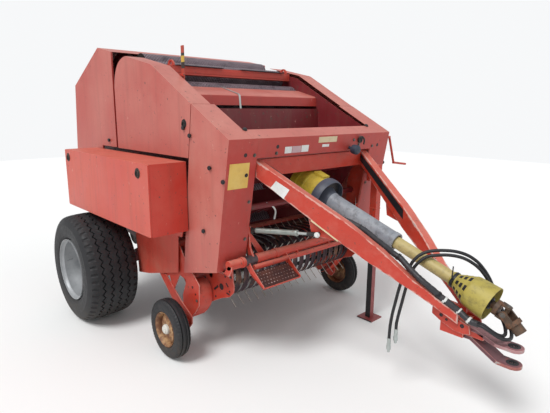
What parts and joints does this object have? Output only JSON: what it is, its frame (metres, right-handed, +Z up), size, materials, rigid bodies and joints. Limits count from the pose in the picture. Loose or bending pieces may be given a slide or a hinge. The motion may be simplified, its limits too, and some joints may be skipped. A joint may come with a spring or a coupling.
{
  "type": "round baler",
  "caption": "Trailed round baler with a roller chamber, lifting tailgate, tined pick-up, A-frame drawbar and guarded drive shaft.",
  "frame": {"origin": "on the ground, under the middle of the machine's length and width as parked", "axes": "+Z up, +Y to the rear along the direction it is towed from, drawbar towards -Y, +X to the machine's left"},
  "size_m": [2.346, 3.6399, 2.109],
  "materials": {
    "red_upper": "sun-faded orange red gloss paint, chalky on upward faces",
    "red_lower": "orange red gloss paint with scratches and stone chips",
    "red_frame": "orange red paint worn to grey along the edges",
    "red_dark": "deep red paint, dusty, in shade",
    "roller_steel": "dark worn roller steel with a diamond texture",
    "machine_dark": "oily dark steel with dried crop dust",
    "plated_steel": "dull zinc plate",
    "rim_silver": "silver wheel paint",
    "rim_rusty": "rusty cream wheel paint",
    "tyre_black": "matt black tyre rubber",
    "guard_yellow": "yellow guard plastic, sun bleached and greasy",
    "guard_grey": "grey weathered guard plastic",
    "rust_brown": "brown rust with bright worn spots",
    "band_steel": "black worn spring steel",
    "marker": "red and yellow marker paint",
    "hose_rubber": "black hydraulic hose"
  },
  "bodies": {
    "chassis": {"chamber_walls": "red_dark", "press_rollers_front": "roller_steel", "axle": "red_dark", "drawbar": "red_frame", "front_frame": "red_frame", "corner_cover_left": "red_upper", "corner_cover_right": "red_upper", "low_cover_left": "red_lower", "low_cover_right": "red_lower", "mid_cover": "red_lower", "fascia": "red_upper", "hopper": "red_dark", "roof_beam": "red_frame", "roller_cover": "red_upper", "gearbox": "red_dark", "gearbox_bell": "guard_yellow", "cross_shaft": "red_dark", "side_drive": "machine_dark", "twine_box": "red_lower", "step": "rust_brown", "bale_post": "marker", "crank": "red_frame", "jack_sleeve": "red_frame", "strut": "plated_steel", "shaft_guard": "guard_grey"},
    "wheel_left": {"tyre_left": "tyre_black", "rim_left": "rim_silver"},
    "wheel_right": {"tyre_right": "tyre_black", "rim_right": "rim_silver"},
    "door_left": {"door_left": "red_upper"},
    "door_right": {"door_right": "red_upper"},
    "box_lid": {"box_lid": "red_upper"},
    "tailgate": {"tailgate_shell": "red_upper", "tailgate_walls": "red_dark", "tailgate_rollers": "roller_steel"},
    "pickup": {"pickup_frame": "red_lower", "pickup_bands": "band_steel"},
    "reel": {"pickup_reel": "machine_dark"},
    "gauge_left": {"gauge_tyre_left": "tyre_black", "gauge_rim_left": "rim_rusty"},
    "gauge_right": {"gauge_tyre_right": "tyre_black", "gauge_rim_right": "rim_rusty"},
    "windguard": {"windguard": "red_dark"},
    "jack": {"jack_leg": "machine_dark"},
    "shaft_slide": {"shaft_inner": "guard_yellow"},
    "shaft_spin": {"shaft_joint": "rust_brown"},
    "tractor_yoke": {"tractor_yoke": "rust_brown"}
  },
  "joints": [
    {"name": "wheel_left_spin", "type": "hinge", "parent": "chassis", "child": "wheel_left", "pos_m": [0.978, 1.06, 0.42], "axis": [1, 0, 0], "continuous": true},
    {"name": "wheel_right_spin", "type": "hinge", "parent": "chassis", "child": "wheel_right", "pos_m": [-0.978, 1.06, 0.42], "axis": [1, 0, 0], "continuous": true},
    {"name": "door_left_swing", "type": "hinge", "parent": "chassis", "child": "door_left", "pos_m": [0.749, 0.929, 1.45], "axis": [0, 0, 1], "range_deg": [0, 90]},
    {"name": "door_right_swing", "type": "hinge", "parent": "chassis", "child": "door_right", "pos_m": [-0.749, 0.929, 1.45], "axis": [0, 0, -1], "range_deg": [0, 90]},
    {"name": "box_lid_drop", "type": "hinge", "parent": "chassis", "child": "box_lid", "pos_m": [-1.037, 0.66, 0.88], "axis": [0, -1, 0], "range_deg": [0, 90]},
    {"name": "tailgate_lift", "type": "hinge", "parent": "chassis", "child": "tailgate", "pos_m": [0, 0.86, 1.96], "axis": [1, 0, 0], "range_deg": [0, 68]},
    {"name": "pickup_lift", "type": "hinge", "parent": "chassis", "child": "pickup", "pos_m": [0, 0.41, 0.7], "axis": [-1, 0, 0], "range_deg": [0, 6]},
    {"name": "reel_spin", "type": "hinge", "parent": "pickup", "child": "reel", "pos_m": [0, -0.07, 0.56], "axis": [1, 0, 0], "continuous": true},
    {"name": "gauge_left_spin", "type": "hinge", "parent": "pickup", "child": "gauge_left", "pos_m": [0.876, 0.068, 0.204], "axis": [1, 0, 0], "continuous": true},
    {"name": "gauge_right_spin", "type": "hinge", "parent": "pickup", "child": "gauge_right", "pos_m": [-0.876, 0.068, 0.204], "axis": [1, 0, 0], "continuous": true},
    {"name": "windguard_lift", "type": "hinge", "parent": "chassis", "child": "windguard", "pos_m": [0, -0.23, 1.015], "axis": [1, 0, 0], "range_deg": [0, 20]},
    {"name": "jack_extend", "type": "slide", "parent": "chassis", "child": "jack", "axis": [0, 0, 1], "range_m": [-0.2, 0]},
    {"name": "shaft_telescope", "type": "slide", "parent": "chassis", "child": "shaft_slide", "axis": [0, -0.9438, -0.3305], "range_m": [-0.1, 0.25]},
    {"name": "shaft_turn", "type": "hinge", "parent": "shaft_slide", "child": "shaft_spin", "pos_m": [0, -1.49794, 0.73333], "axis": [0, -0.9438, -0.3305], "continuous": true},
    {"name": "yoke_swing", "type": "hinge", "parent": "shaft_spin", "child": "tractor_yoke", "pos_m": [0, -1.71501, 0.65731], "axis": [-1, 0, 0], "range_deg": [0, 50]}
  ]
}
